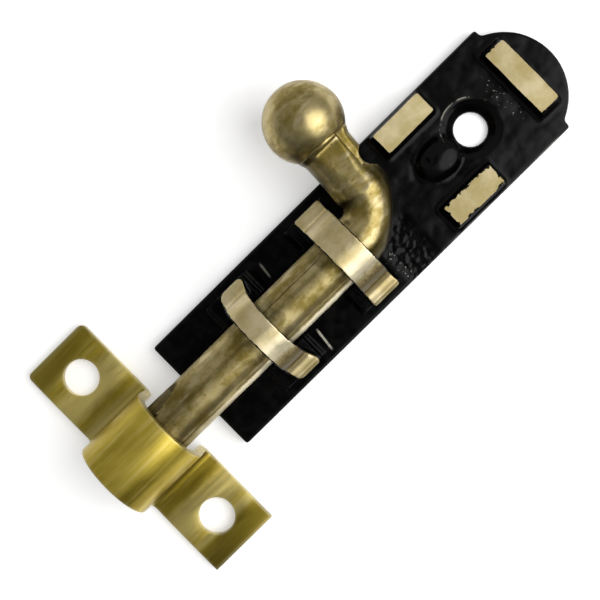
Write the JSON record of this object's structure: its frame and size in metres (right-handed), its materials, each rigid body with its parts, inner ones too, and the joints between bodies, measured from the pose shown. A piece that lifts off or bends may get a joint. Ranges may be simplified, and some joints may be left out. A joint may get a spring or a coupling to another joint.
{
  "type": "barrel bolt",
  "caption": "Small surface barrel bolt: a ball-handled round rod slides in two guide straps on a lacquered back plate into a separate bent brass keeper.",
  "frame": {"origin": "centre of the base plate's flat back face, midway along the plate", "axes": "+X along the rod towards the keeper, +Y across the plate away from the handle as stored, +Z out of the mounting surface"},
  "size_m": [0.0936, 0.0458, 0.0158],
  "materials": {
    "black_lacquer": "gloss black lacquer on cast brass, with the lug tops ground bare",
    "polished_strap_brass": "linished brass tops, black lacquer on the sides and feet",
    "cast_brass": "mottled antique brass",
    "knob_brass": "mottled antique brass",
    "satin_sheet_brass": "satin yellow brass with fine streaks"
  },
  "bodies": {
    "base": {"base_plate": "black_lacquer", "front_guide": "polished_strap_brass", "rear_guide": "polished_strap_brass"},
    "rod": {"bolt_rod": "cast_brass"},
    "handle": {"bolt_handle": "cast_brass", "ball_knob": "knob_brass"},
    "keeper": {"keeper": "satin_sheet_brass"}
  },
  "joints": [
    {"name": "bolt_slide", "type": "slide", "parent": "base", "child": "rod", "axis": [-1, 0, 0], "range_m": [0, 0.0225]},
    {"name": "bolt_turn", "type": "hinge", "parent": "rod", "child": "handle", "pos_m": [0, 0, 0.0083], "axis": [-1, 0, 0], "range_deg": [-10, 182]},
    {"name": "keeper_pull", "type": "slide", "parent": "base", "child": "keeper", "axis": [1, 0, 0], "range_m": [0, 0.025]}
  ]
}
